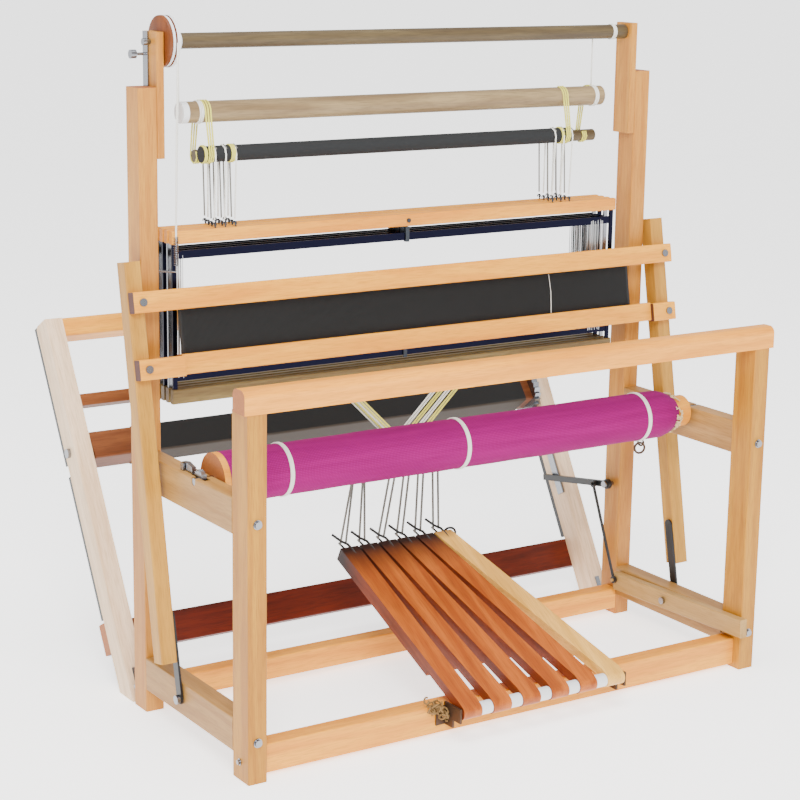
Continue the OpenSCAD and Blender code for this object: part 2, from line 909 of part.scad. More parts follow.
// Treadle k: a bar with a rounded nose on the axle, relieved over the front rail, and a steel tie hook
module treadle(k) {
    x0 = treadle_x_front(k);
    skew = treadle_x_rear(k) - x0;
    half = treadle_w / 2;
    color([0.82, 0.55, 0.34])
        difference() {
            translate([0, front_y + axle_d, axle_z])
                rotate([treadle_slope, 0, 0])
                    union() {
                        translate([x0 - half, 0, 0])
                            rotate([0, 90, 0])
                                cylinder(r = treadle_t / 2, h = treadle_w);
                        translate([0, 0, -treadle_t / 2])
                            linear_extrude(treadle_t)
                                polygon([[x0 - half, 0], [x0 + half, 0], [x0 + half, skew_from],
                                    [x0 + half + skew, treadle_len], [x0 - half + skew, treadle_len],
                                    [x0 - half, skew_from]]);
                    }
            translate([0, front_y + axle_d, axle_z])
                rotate([treadle_slope, 0, 0])
                    translate([x0 - 2 * half, notch_from, -treadle_t / 2 - 1])
                        cube([4 * half, notch_to - notch_from, notch_deep + 1]);
            rod_along_x([x0 - half - 1, x0 + half + 1], [axle_d, axle_z], axle_r + run_clear);
        }
    color(STEEL)
        strand([treadle_x_rear(k), axle_d + (treadle_len - 6) * cos(treadle_slope), hook_z() - 6],
            [treadle_x_rear(k), hook_d() + hook_len - 14, hook_z() + 4], hook_r);
}

module treadle_1() {
    treadle(1);
}

module treadle_2() {
    treadle(2);
}

module treadle_3() {
    treadle(3);
}

module treadle_4() {
    treadle(4);
}

module treadle_5() {
    treadle(5);
}

module treadle_6() {
    treadle(6);
}

front_post_left();
front_post_right();
breast_beam();
front_rail();
side_rails();
upper_rails();
castle_posts();
castle_extensions();
castle_rail();
castle_strap();
treadle_axle();
treadle_spacers();
frame_bolts();
fold_hinges();
harness_cords();
regulator_spring();
cloth_beam();
cloth_roll();
cloth_ratchet();
cloth_pawl();
rear_leg_left();
rear_leg_right();
back_beam();
rear_rail();
rear_spreader();
leg_straps();
warp_beam();
warp_apron();
warp_ratchet();
brake_pedal();
brake_rod();
brake_lever();
sword_left();
sword_right();
handtree();
race_beam();
reed();
sword_straps();
top_shaft();
shaft_disk();
lift_cords();
upper_roller();
front_roller_cords();
front_roller();
rear_roller_cords();
rear_roller();
shaft_1();
shaft_2();
shaft_3();
shaft_4();
heddles_1();
heddles_2();
heddles_3();
heddles_4();
treadle_1();
treadle_2();
treadle_3();
treadle_4();
treadle_5();
treadle_6();
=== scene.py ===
"""Looks of the folding counterbalance floor loom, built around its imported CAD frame."""

import math
import random

import bpy
from mathutils import Matrix, Vector


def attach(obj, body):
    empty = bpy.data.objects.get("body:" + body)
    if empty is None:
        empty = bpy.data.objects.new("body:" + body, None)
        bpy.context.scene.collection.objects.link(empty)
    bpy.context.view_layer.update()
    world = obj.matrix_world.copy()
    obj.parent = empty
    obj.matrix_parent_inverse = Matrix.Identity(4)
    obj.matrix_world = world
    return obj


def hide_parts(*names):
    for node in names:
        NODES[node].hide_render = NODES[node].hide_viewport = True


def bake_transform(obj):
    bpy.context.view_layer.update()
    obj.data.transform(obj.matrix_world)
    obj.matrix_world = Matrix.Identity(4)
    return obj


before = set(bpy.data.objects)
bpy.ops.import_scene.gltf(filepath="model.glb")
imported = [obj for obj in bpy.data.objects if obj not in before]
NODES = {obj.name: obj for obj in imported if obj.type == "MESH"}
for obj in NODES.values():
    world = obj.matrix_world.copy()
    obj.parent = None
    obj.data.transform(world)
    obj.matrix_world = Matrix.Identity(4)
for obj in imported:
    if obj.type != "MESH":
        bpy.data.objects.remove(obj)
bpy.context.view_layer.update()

# Millimetres and degrees. A pair is (depth behind the front posts' front face, height)
FRONT_Y = -407.0
BEATER_LEAN = 10.4
BEATER_PIVOT = (238, 73)
LEG_LEAN = 29.2
LEG_FOOT_DEPTH = 435
TREADLE_SLOPE = 27.5
TREADLE_AXLE = (-22, 54)
TREADLE_REACH = 427
SHAFT_DEPTHS = [377, 395, 413, 431]
TREADLE_REAR_X = [-152 + 41.5 * i for i in range(6)]
TOP_SHAFT = (403.5, 1183)
TOP_SHAFT_R = 13
UPPER_ROLLER = (404, 1062)
UPPER_R = 18.5
FRONT_ROLLER = (386, 991)
FRONT_R = 14
REAR_ROLLER = (424, 984)
REAR_R = 11
CLOTH_BEAM = (190, 472)
CLOTH_CORE_R = 30.2
LIFT_CORD_DEPTH = TOP_SHAFT[0] + TOP_SHAFT_R + 2
SHAFT_SIDES_X = (-488, 464)
MIDDLE_X = -12

SHAFT_BODIES = [f"shaft_{k}_body" for k in range(1, 5)]
TREADLE_BODIES = [f"treadle_{t}_body" for t in range(1, 7)]


# ---------------------------------------------------------------- places

def at(x, depth, z):
    """A place in the loom, in metres, from millimetres across, behind the front posts and up."""
    return Vector((x, depth + FRONT_Y, z)) / 1000


def on_beater(x, y, z):
    """A place on the beater: y behind the swords' front line, z up the swords from their pivot."""
    c, s = math.cos(math.radians(BEATER_LEAN)), math.sin(math.radians(BEATER_LEAN))
    return at(x, BEATER_PIVOT[0] + y * c + z * s, BEATER_PIVOT[1] - y * s + z * c)


def behind_leg(place):
    """How far a place, in metres, lies behind the back legs' front line, in millimetres."""
    lean = math.radians(LEG_LEAN)
    depth = place.y * 1000 - FRONT_Y - LEG_FOOT_DEPTH
    return depth * math.cos(lean) - place.z * 1000 * math.sin(lean)


# ---------------------------------------------------------------- camera, light, floor

def make_camera():
    camera = bpy.data.objects.new("camera", bpy.data.cameras.new("camera"))
    bpy.context.scene.collection.objects.link(camera)
    camera.data.sensor_width = 36
    camera.data.lens = 93.57
    turn = (
        Matrix.Rotation(-0.575, 4, "Z")
        @ Matrix.Rotation(math.pi / 2 - 0.2289, 4, "X")
        @ Matrix.Rotation(0.01495, 4, "Z")
    )
    camera.matrix_world = Matrix.Translation(at(-2078.3, -2797.5, 1395.3)) @ turn
    camera.data.clip_end = 200
    bpy.context.scene.camera = camera


def soft_light(name, place, aim, size, watts, tint):
    lamp = bpy.data.lights.new(name, "AREA")
    lamp.shape = "SQUARE"
    lamp.size = size
    lamp.energy = watts
    lamp.color = tint
    holder = bpy.data.objects.new(name, lamp)
    bpy.context.scene.collection.objects.link(holder)
    holder.location = place
    holder.rotation_euler = (Vector(aim) - Vector(place)).to_track_quat("-Z", "Y").to_euler()


make_camera()
soft_light("key_front_left", (-2.6, -4.4, 3.8), (0, 0, 0.7), 1.8, 420, (1.0, 0.98, 0.95))
soft_light("overhead", (-0.6, -0.6, 4.2), (0, 0, 0.4), 2.4, 150, (1.0, 1.0, 1.0))
soft_light("fill_right", (4.2, -2.2, 1.8), (0, 0, 0.6), 2.5, 25, (0.96, 0.98, 1.0))


# ---------------------------------------------------------------- materials

def linear(colour):
    """An sRGB hex colour as linear RGBA."""
    parts = [int(colour[i : i + 2], 16) / 255 for i in (1, 3, 5)]
    return [c / 12.92 if c <= 0.04045 else ((c + 0.055) / 1.055) ** 2.4 for c in parts] + [1.0]


def add(tree, kind, inputs=None, **settings):
    """Adds a node. An input, by name or number, takes a value or another node's output."""
    made = tree.nodes.new(kind)
    for name, value in settings.items():
        setattr(made, name, value)
    for name, value in (inputs or {}).items():
        if isinstance(value, bpy.types.NodeSocket):
            tree.links.new(value, made.inputs[name])
        else:
            made.inputs[name].default_value = value
    return made


def new_material(name):
    material = bpy.data.materials.new(name)
    material.use_nodes = True
    material.node_tree.nodes.clear()
    return material, material.node_tree


def finish_surface(tree, surface, bump=None, depth=0.0003, strength=0.4):
    shader = add(tree, "ShaderNodeBsdfPrincipled", surface)
    if bump is not None:
        relief = add(tree, "ShaderNodeBump", {"Height": bump, "Distance": depth, "Strength": strength})
        tree.links.new(relief.outputs["Normal"], shader.inputs["Normal"])
    add(tree, "ShaderNodeOutputMaterial", {"Surface": shader.outputs["BSDF"]})


# Turns that bring each timber's length onto the pattern's X axis
ACROSS = (0, 0, 0)
FRONT_TO_BACK = (0, 0, -90)
UPRIGHT = (0, 90, 0)
SWORD_WAY = (BEATER_LEAN, 90, 0)
LEG_WAY = (LEG_LEAN, 90, 0)
TREADLE_WAY = (-TREADLE_SLOPE, 0, -90)


def wood(name, early, late, pore, way, seed, roughness=0.42, rear_darkening=None):
    """Planed hardwood under thin satin varnish: long soft figure about 20 mm wide, with fine fibre
    streaks drawn about 2 mm wide, coarser than real ones so that they show. The last argument,
    if given, is (depth from, depth to, colour) and darkens the piece towards the back."""
    material, tree = new_material(name)
    coords = add(tree, "ShaderNodeTexCoord")
    turned = add(
        tree,
        "ShaderNodeMapping",
        {
            "Vector": coords.outputs["Object"],
            "Rotation": [math.radians(a) for a in way],
            "Location": (seed * 1.7, seed * 0.31, seed * 0.53),
        },
    )
    drawn_out = add(
        tree, "ShaderNodeMapping", {"Vector": turned.outputs["Vector"], "Scale": (0.07, 1.0, 1.0)}
    )
    figure = add(
        tree,
        "ShaderNodeTexNoise",
        {"Vector": drawn_out.outputs["Vector"], "Scale": 48.0, "Detail": 3.0, "Distortion": 0.5},
    )
    fibre = add(
        tree,
        "ShaderNodeTexNoise",
        {"Vector": drawn_out.outputs["Vector"], "Scale": 480.0, "Detail": 2.0},
    )
    rings = add(
        tree,
        "ShaderNodeMapRange",
        {"Value": figure.outputs["Fac"], "From Min": 0.36, "From Max": 0.64},
    )
    streaks = add(
        tree,
        "ShaderNodeMapRange",
        {"Value": fibre.outputs["Fac"], "From Min": 0.45, "From Max": 0.8, "To Max": 0.5},
    )
    body = add(
        tree,
        "ShaderNodeMix",
        {0: rings.outputs["Result"], 6: linear(early), 7: linear(late)},
        data_type="RGBA",
    )
    colour = add(
        tree,
        "ShaderNodeMix",
        {0: streaks.outputs["Result"], 6: body.outputs[2], 7: linear(pore)},
        data_type="RGBA",
    )
    if rear_darkening:
        place = add(tree, "ShaderNodeSeparateXYZ", {"Vector": coords.outputs["Object"]})
        shade = add(
            tree,
            "ShaderNodeMapRange",
            {
                "Value": place.outputs["Y"],
                "From Min": (rear_darkening[0] + FRONT_Y) / 1000,
                "From Max": (rear_darkening[1] + FRONT_Y) / 1000,
            },
        )
        colour = add(
            tree,
            "ShaderNodeMix",
            {0: shade.outputs["Result"], 6: colour.outputs[2], 7: linear(rear_darkening[2])},
            data_type="RGBA",
        )
    finish_surface(
        tree,
        {"Base Color": colour.outputs[2], "Roughness": roughness, "Specular IOR Level": 0.3},
        fibre.outputs["Fac"],
    )
    return material


def end_grain(name, light, dark):
    """Sawn end of a timber: it drinks more varnish, so it is darker, with rings 4 mm apart."""
    material, tree = new_material(name)
    coords = add(tree, "ShaderNodeTexCoord")
    rings = add(
        tree,
        "ShaderNodeTexNoise",
        {"Vector": coords.outputs["Object"], "Scale": 240.0, "Detail": 4.0, "Distortion": 1.2},
    )
    colour = add(
        tree,
        "ShaderNodeMix",
        {0: rings.outputs["Fac"], 6: linear(light), 7: linear(dark)},
        data_type="RGBA",
    )
    finish_surface(tree, {"Base Color": colour.outputs[2], "Roughness": 0.6}, rings.outputs["Fac"])
    return material


def plain(name, colour, roughness, grain_mm=None, depth=0.0002, **more):
    """One colour all over, with an optional fine relief of a given size."""
    material, tree = new_material(name)
    surface = {"Base Color": linear(colour), "Roughness": roughness}
    surface.update({key.replace("_", " "): value for key, value in more.items()})
    relief = None
    if grain_mm:
        coords = add(tree, "ShaderNodeTexCoord")
        noise = add(
            tree,
            "ShaderNodeTexNoise",
            {"Vector": coords.outputs["Object"], "Scale": 1000 / grain_mm, "Detail": 2.0},
        )
        relief = noise.outputs["Fac"]
    finish_surface(tree, surface, relief, depth)
    return material


def cloth(name, warp_colour, weft_colour, thread_mm, sheen):
    """Plain woven cloth: two sets of threads crossing at right angles, in slightly different shades,
    the threads drawn 3 mm apart where real ones are under 1 mm, so that the weave shows."""
    material, tree = new_material(name)
    coords = add(tree, "ShaderNodeTexCoord")
    wound = add(
        tree, "ShaderNodeMapping", {"Vector": coords.outputs["UV"], "Scale": (1000.0, 1000.0, 1.0)}
    )
    lines = [
        add(
            tree,
            "ShaderNodeTexWave",
            {"Vector": wound.outputs["Vector"], "Scale": 0.314 / thread_mm, "Distortion": 0.6, "Detail": 1.0},
            bands_direction=way,
        )
        for way in ("X", "Y")
    ]
    over = add(
        tree,
        "ShaderNodeMath",
        {0: lines[0].outputs["Fac"], 1: lines[1].outputs["Fac"]},
        operation="MULTIPLY",
    )
    # Long folds: noise stretched along the roll mixes in the darker thread colour, painted shade of folds.
    fold_shade_stretch = add(
        tree,
        "ShaderNodeMapping",
        {"Vector": coords.outputs["UV"], "Scale": (1.5, 30.0, 1.0)},
    )
    fold_shade = add(
        tree,
        "ShaderNodeTexNoise",
        {"Vector": fold_shade_stretch.outputs["Vector"], "Scale": 3.0, "Detail": 3.0},
    )
    shade = add(
        tree,
        "ShaderNodeMath",
        {0: over.outputs["Value"], 1: fold_shade.outputs["Fac"]},
        operation="ADD",
    )
    amount = add(
        tree, "ShaderNodeMapRange", {"Value": shade.outputs["Value"], "From Min": 0.3, "From Max": 1.3}
    )
    colour = add(
        tree,
        "ShaderNodeMix",
        {0: amount.outputs["Result"], 6: linear(weft_colour), 7: linear(warp_colour)},
        data_type="RGBA",
    )
    finish_surface(
        tree,
        {
            "Base Color": colour.outputs[2],
            "Roughness": 0.8,
            "Specular IOR Level": 0.15,
            "Sheen Weight": sheen,
            "Sheen Roughness": 0.4,
        },
        over.outputs["Value"],
        0.0006,
        0.5,
    )
    return material


# Varnished maple: honey yellow, brightest on the beams across; the side rails and the front posts get darker
# copies of it, painted shade
maple_across = wood("maple_beams", "#E9A02D", "#D78821", "#AE6916", ACROSS, 1)
maple_breast = wood("maple_breast_beam", "#F0A034", "#DE8E26", "#B86E18", ACROSS, 2, 0.36)
maple_long_painted_shade = wood("maple_side_rails_painted_shade", "#AA8046", "#966A32", "#74501E", FRONT_TO_BACK, 3)
maple_up_painted_shade = wood("maple_posts_painted_shade", "#B8801E", "#A46A16", "#7E4C0C", UPRIGHT, 4)
maple_castle = wood("maple_castle_posts", "#C08533", "#AD6F25", "#875016", UPRIGHT, 5)
maple_sword = wood("maple_swords", "#BC8A34", "#A87628", "#845A18", SWORD_WAY, 6)
# Unvarnished birch: paler and flatter than the maple
pale_leg = wood("bare_birch_legs", "#EBCFAE", "#D9B893", "#B08A66", LEG_WAY, 7, 0.5)
pale_pedal = wood("bare_birch_pedal", "#B08C53", "#A37E45", "#866330", FRONT_TO_BACK, 8, 0.5)
# Treadles rubbed with oil: red-brown tops, the left sides a darker copy for painted shade, the back ends
# darkening to nearly black
stained_treadle = wood(
    "oiled_treadles", "#B4601C", "#94460E", "#662A06", TREADLE_WAY, 9, 0.4, (262, 332, "#1E0806")
)
cream_treadle = wood(
    "new_treadle", "#E4B25A", "#D09C44", "#A87428", TREADLE_WAY, 10, 0.42, (320, 352, "#4A1E14")
)
# Darker copy for the treadles' left sides: painted shade.
shaded_treadle_side = wood(
    "treadle_sides_painted_shade", "#7A3210", "#5E2208", "#3A1204", TREADLE_WAY, 17, 0.45, (262, 332, "#1E0806")
)
# Stained beams of the back frame: oxblood rail, umber spreader and warp beam
red_across = wood("red_stained_beams", "#641F09", "#4A1406", "#280A04", ACROSS, 11, 0.45)
umber_across = wood("umber_beams", "#7C4620", "#603010", "#3C1C08", ACROSS, 16, 0.45)
red_disk = wood("brown_disk", "#80441A", "#683412", "#48220C", UPRIGHT, 12, 0.45)
# Turned dowels gone grey-brown, and the shaft frames' lower bars a darker grey-brown
grey_dowel = wood("weathered_dowel", "#937E5B", "#755F42", "#4F402A", ACROSS, 13, 0.45)
brown_dowel = wood("brown_dowel", "#5B4D33", "#463825", "#2D2519", ACROSS, 14, 0.45)
grey_bar = wood("dark_lower_shaft_bars", "#8A784A", "#6C5935", "#473921", ACROSS, 15, 0.4)
# Sawn ends, darker than the long faces; the darkest copy, for the handtree and race ends, also holds painted
# shade
end_brown = end_grain("sawn_ends", "#B06A2C", "#804016")
end_grain_with_shade = end_grain("sawn_ends_and_painted_shade", "#5A281A", "#32120C")
# Zinc-plated steel: bright grey metal with a soft mirror
zinc_steel = plain("zinc_plated_steel", "#8C8E93", 0.27, 1.2, 0.00005, Metallic=1.0)
# Blued spring steel: dark with a blue cast, still glossy
blued_steel = plain("blued_steel", "#0C0D22", 0.3, 2.0, 0.00005, Metallic=0.9)
# Bright heddle wire: drawn tinned steel
tinned_wire = plain("tinned_heddle_wire", "#B9BCBE", 0.32, Metallic=1.0)
# Darker copy of the heddle wire: painted shade on the heddle rows of shafts 2 and 4, seen edge on, and real
# oxide on the hooks and hangers
dark_wire = plain("heddle_wire_oxide_and_shade", "#3B4046", 0.4, Metallic=0.9)
# Black stove enamel on steel: slightly pebbled
black_enamel = plain("black_enamel", "#121213", 0.38, 1.5, 0.0001)
# Bare steel gone brown with age
rusty_steel = plain("rusty_steel", "#4A3526", 0.5, 1.5, 0.0001, Metallic=0.6)
# Lacquered reed wires and their pitch band: nearly black, half matt
reed_wire = plain("reed_wires", "#040404", 0.5, 1.0, 0.0001)
# Moulded nylon: milky white, soft gloss
white_nylon = plain("moulded_nylon", "#D9DBDD", 0.45, 2.0, 0.0001)
# Cotton cord: off-white, fuzzy, no gloss
cotton_cord = plain("white_cotton_cord", "#DAD9D2", 0.85, 1.6, 0.0006, Sheen_Weight=0.3)
# Linen cord, greyer than the cotton
grey_cord = plain("grey_linen_cord", "#6A6862", 0.8, 1.6, 0.0006, Sheen_Weight=0.2)
# Waxed yellow cord
yellow_cord = plain("yellow_waxed_cord", "#CDC650", 0.7, 1.8, 0.0006, Sheen_Weight=0.2)
# Unspun jute: straw brown and hairy
jute_twine = plain("jute_twine", "#7C5E34", 0.9, 1.8, 0.0008)
# Undyed warp yarn left at the cloth's end
warp_yarn = plain("undyed_warp_yarn", "#C9B287", 0.9, 1.5, 0.0008)
# Dense plain weave in magenta wool: matt, with painted shade in long folds
magenta_cloth = cloth("magenta_wool_cloth", "#92006A", "#6E004C", 3.0, 0.02)
# Apron canvas: black on its faces that point up and forward, taupe on the rest
black_canvas = plain("black_canvas", "#040404", 0.75, 2.4, 0.0005)
taupe_canvas = plain("taupe_canvas", "#2A2013", 0.7, 2.4, 0.0005)
# Front roller: soft black all over, without gloss
black_roller_finish = plain("black_front_roller", "#101214", 0.85, 2.0, 0.0006)
# Bright studio floor: it glows a little, so that only soft shadows stay on it
floor_paint = plain(
    "pale_floor", "#F4F4F4", 0.9, Emission_Color=(1.0, 1.0, 1.0, 1.0), Emission_Strength=1.7
)


# ---------------------------------------------------------------- finishes of the CAD nodes

def dress(material, *names):
    for name in names:
        mesh = NODES[name].data
        mesh.materials.clear()
        mesh.materials.append(material)


def dress_faces(name, material, chosen):
    """Gives another finish to the faces that a test picks, from their middle and outward direction."""
    mesh = NODES[name].data
    mesh.materials.append(material)
    slot = len(mesh.materials) - 1
    for face in mesh.polygons:
        if chosen(face.center, face.normal):
            face.material_index = slot


dress(maple_across, "front_rail", "castle_rail", "handtree", "race_beam", "back_beam")
dress(maple_across, "shaft_1", "shaft_2", "shaft_3", "shaft_4")
dress(maple_breast, "breast_beam")
# The side rails and front posts take the darker maple copies: painted shade.
dress(maple_long_painted_shade, "side_rails", "upper_rails")
dress(maple_up_painted_shade, "front_post_left", "front_post_right")
dress(maple_castle, "castle_posts", "castle_extensions")
dress(maple_sword, "sword_left", "sword_right")
dress(pale_leg, "rear_leg_left", "rear_leg_right")
dress(pale_pedal, "brake_pedal")
dress(stained_treadle, "treadle_1", "treadle_2", "treadle_3", "treadle_4", "treadle_5")
dress(cream_treadle, "treadle_6")
dress(red_across, "rear_rail")
dress(umber_across, "rear_spreader", "warp_beam")
dress(grey_dowel, "upper_roller")
dress(brown_dowel, "top_shaft", "rear_roller")
dress(maple_across, "cloth_beam")
dress(black_roller_finish, "front_roller")
dress(zinc_steel, "castle_strap", "frame_bolts", "fold_hinges", "regulator_spring")
dress(zinc_steel, "cloth_ratchet", "cloth_pawl", "warp_ratchet", "leg_straps")
dress(black_enamel, "brake_rod", "brake_lever")
dress(rusty_steel, "treadle_axle")
dress(white_nylon, "treadle_spacers")
dress(taupe_canvas, "warp_apron")
dress(reed_wire, "reed")
dress(zinc_steel, "sword_straps")
dress(magenta_cloth, "cloth_roll")
dress(red_disk, "shaft_disk")

# The handtree's and race's ends take the darkest end grain, partly painted shade.
for beam in ("handtree", "race_beam"):
    dress_faces(beam, end_grain_with_shade, lambda c, n: abs(n.x) > 0.9)
for beam in ("breast_beam", "back_beam", "rear_rail"):
    dress_faces(beam, end_brown, lambda c, n: abs(n.x) > 0.9)
for beam in ("castle_posts", "front_post_left", "front_post_right", "sword_left", "sword_right"):
    dress_faces(beam, end_brown, lambda c, n: abs(n.z) > 0.9)
for k in range(1, 5):
    dress_faces(f"shaft_{k}", grey_bar, lambda c, n: c.z < 0.59)
dress_faces("sword_straps", black_enamel, lambda c, n: abs(c.x) < 0.5565)
dress_faces("leg_straps", black_enamel, lambda c, n: behind_leg(c) > 47)
dress_faces("warp_apron", black_canvas, lambda c, n: n.y < 0 and n.z > 0)
dress_faces("warp_beam", zinc_steel, lambda c, n: abs(c.x) > 0.514)
dress_faces("cloth_beam", zinc_steel, lambda c, n: abs(c.x) > 0.514)
dress_faces("cloth_beam", end_brown, lambda c, n: n.x < -0.9 and c.x > -0.514)
dress_faces("top_shaft", zinc_steel, lambda c, n: abs(c.x) > 0.5005 and c.x > 0)
# Left faces of treadles 1 to 5 take the darker side copy: painted shade.
for t in range(1, 6):
    dress_faces(f"treadle_{t}", shaded_treadle_side, lambda c, n: n.x < -0.7)
for t in range(1, 7):
    dress_faces(f"treadle_{t}", black_enamel, lambda c, n: c.y > (350.5 + FRONT_Y) / 1000)


# ---------------------------------------------------------------- shapes

def tube(path, radius, sides=8, closed=False):
    """A round cord or wire of a radius in metres along a list of places, as (points, faces)."""
    count = len(path)
    points, faces = [], []
    side = None
    for i, here in enumerate(path):
        ahead = path[(i + 1) % count] if closed or i < count - 1 else here
        behind = path[i - 1] if closed or i > 0 else here
        along = (ahead - behind).normalized()
        side = along.orthogonal() if side is None else side - along * side.dot(along)
        side = side.normalized()
        other = along.cross(side)
        for k in range(sides):
            angle = 2 * math.pi * k / sides
            points.append(here + radius * (math.cos(angle) * side + math.sin(angle) * other))
    for i in range(count if closed else count - 1):
        a, b = i * sides, ((i + 1) % count) * sides
        for k in range(sides):
            n = (k + 1) % sides
            faces.append((a + k, a + n, b + n, b + k))
    if not closed:
        faces.append(tuple(reversed(range(sides))))
        last = (count - 1) * sides
        faces.append(tuple(range(last, last + sides)))
    return points, faces


def turned(profile, axis, sides=64):
    """A piece turned about a line along X at (depth, height), from (x, radius) pairs, closed."""
    points, faces = [], []
    count = len(profile)
    for x, radius in profile:
        for k in range(sides):
            angle = 2 * math.pi * k / sides
            points.append(at(x, axis[0] + radius * math.cos(angle), axis[1] + radius * math.sin(angle)))
    for i in range(count - 1):
        for k in range(sides):
            n = (k + 1) % sides
            faces.append((i * sides + k, i * sides + n, (i + 1) * sides + n, (i + 1) * sides + k))
    faces.append(tuple(reversed(range(sides))))
    faces.append(tuple(range((count - 1) * sides, count * sides)))
    return points, faces


def block(low, high):
    x0, y0, z0 = low
    x1, y1, z1 = high
    points = [Vector((x, y, z)) for x in (x0, x1) for y in (y0, y1) for z in (z0, z1)]
    faces = [(0, 1, 3, 2), (4, 6, 7, 5), (0, 4, 5, 1), (2, 3, 7, 6), (0, 2, 6, 4), (1, 5, 7, 3)]
    return points, faces


def piece(name, shapes, material, smooth=True):
    """One object from several (points, faces) shapes."""
    points, faces = [], []
    for more_points, more_faces in shapes:
        shift = len(points)
        points += [tuple(p) for p in more_points]
        faces += [tuple(i + shift for i in face) for face in more_faces]
    mesh = bpy.data.meshes.new(name)
    mesh.from_pydata(points, [], faces)
    mesh.materials.append(material)
    made = bpy.data.objects.new(name, mesh)
    bpy.context.scene.collection.objects.link(made)
    if smooth:
        mesh.shade_smooth()
        mesh.set_sharp_from_angle(angle=math.radians(40))
    return made


def ring(centre, axis_way, radius, wire, sides=8, steps=28, start=0.0, sweep=360.0):
    """A wire ring or open hook round a line through its centre."""
    way = Vector(axis_way).normalized()
    first = way.orthogonal().normalized()
    second = way.cross(first)
    whole = sweep >= 360
    turns = [math.radians(start + sweep * i / steps) for i in range(steps if whole else steps + 1)]
    path = [centre + radius / 1000 * (math.cos(a) * first + math.sin(a) * second) for a in turns]
    return tube(path, wire / 1000, sides, whole)


def ring_round_x(x, axis, radius, wire, steps=40):
    """A cord tied round a bar that runs along X."""
    path = [
        at(x, axis[0] + radius * math.cos(a), axis[1] + radius * math.sin(a))
        for a in (2 * math.pi * i / steps for i in range(steps))
    ]
    return tube(path, wire / 1000, 8, True)


def wire_row_tree():
    """Geometry tree: a row of upright wires at even spacing, each shaken a little."""
    tree = bpy.data.node_groups.new("row_of_wires", "GeometryNodeTree")
    made = tree.interface.new_socket("Geometry", in_out="OUTPUT", socket_type="NodeSocketGeometry")
    for name, kind in (
        ("Count", "NodeSocketInt"),
        ("Spacing", "NodeSocketFloat"),
        ("Height", "NodeSocketFloat"),
        ("Radius", "NodeSocketFloat"),
        ("Shake", "NodeSocketVector"),
        ("Seed", "NodeSocketInt"),
        ("Finish", "NodeSocketMaterial"),
    ):
        tree.interface.new_socket(name, in_out="INPUT", socket_type=kind)
    given = add(tree, "NodeGroupInput").outputs
    step = add(tree, "ShaderNodeCombineXYZ", {"X": given["Spacing"]})
    line = add(
        tree,
        "GeometryNodeMeshLine",
        {"Count": given["Count"], "Offset": step.outputs["Vector"]},
        mode="OFFSET",
    )
    back = add(
        tree, "ShaderNodeVectorMath", {0: given["Shake"], 1: (-1.0, -1.0, -1.0)}, operation="MULTIPLY"
    )
    shake = add(
        tree,
        "FunctionNodeRandomValue",
        {0: back.outputs[0], 1: given["Shake"], "Seed": given["Seed"]},
        data_type="FLOAT_VECTOR",
    )
    spread = add(
        tree, "GeometryNodeSetPosition", {"Geometry": line.outputs["Mesh"], "Offset": shake.outputs[0]}
    )
    wire = add(
        tree, "GeometryNodeMeshCylinder", {"Vertices": 6, "Radius": given["Radius"], "Depth": given["Height"]}
    )
    placed = add(
        tree,
        "GeometryNodeInstanceOnPoints",
        {"Points": spread.outputs["Geometry"], "Instance": wire.outputs["Mesh"]},
    )
    real = add(tree, "GeometryNodeRealizeInstances", {"Geometry": placed.outputs["Instances"]})
    finished = add(
        tree, "GeometryNodeSetMaterial", {"Geometry": real.outputs["Geometry"], "Material": given["Finish"]}
    )
    add(tree, "NodeGroupOutput", {made.name: finished.outputs["Geometry"]})
    return tree


def grow(name, tree, values, place):
    """Runs a geometry tree once and keeps its result as a plain mesh, moved into place."""
    seedling = bpy.data.objects.new(name, bpy.data.meshes.new(name))
    bpy.context.scene.collection.objects.link(seedling)
    modifier = seedling.modifiers.new("grow", "NODES")
    modifier.node_group = tree
    for socket in tree.interface.items_tree:
        if socket.in_out == "INPUT" and socket.name in values:
            modifier[socket.identifier] = values[socket.name]
    graph = bpy.context.evaluated_depsgraph_get()
    mesh = bpy.data.meshes.new_from_object(seedling.evaluated_get(graph))
    bpy.data.objects.remove(seedling)
    mesh.transform(place)
    mesh.name = name
    made = bpy.data.objects.new(name, mesh)
    bpy.context.scene.collection.objects.link(made)
    return made


row_of_wires = wire_row_tree()


def wires(name, count, spacing, height, radius, shake, seed, finish, place):
    values = {
        "Count": count,
        "Spacing": spacing / 1000,
        "Height": height / 1000,
        "Radius": radius / 1000,
        "Shake": [s / 1000 for s in shake],
        "Seed": seed,
        "Finish": finish,
    }
    return grow(name, row_of_wires, values, place)


# ---------------------------------------------------------------- floor

FLOOR_CORNERS = [(-70, -70), (70, -70), (70, 70), (-70, 70)]
floor = piece(
    "floor",
    [([Vector((x, y, 0)) for x, y in FLOOR_CORNERS], [(0, 1, 2, 3)])],
    floor_paint,
    False,
)
world = bpy.data.worlds.new("studio")
world.use_nodes = True
world.node_tree.nodes["Background"].inputs["Color"].default_value = (1, 1, 1, 1)
world.node_tree.nodes["Background"].inputs["Strength"].default_value = 0.9
bpy.context.scene.world = world


# ---------------------------------------------------------------- harness cords

for i, x in enumerate((-455, 436)):
    cord = piece(
        f"lift_cord_{i + 1}",
        [tube([at(x, LIFT_CORD_DEPTH, TOP_SHAFT[1]), at(x, LIFT_CORD_DEPTH, UPPER_ROLLER[1] + 13)], 0.0014)],
        cotton_cord,
    )
    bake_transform(cord)
    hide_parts("lift_cords")

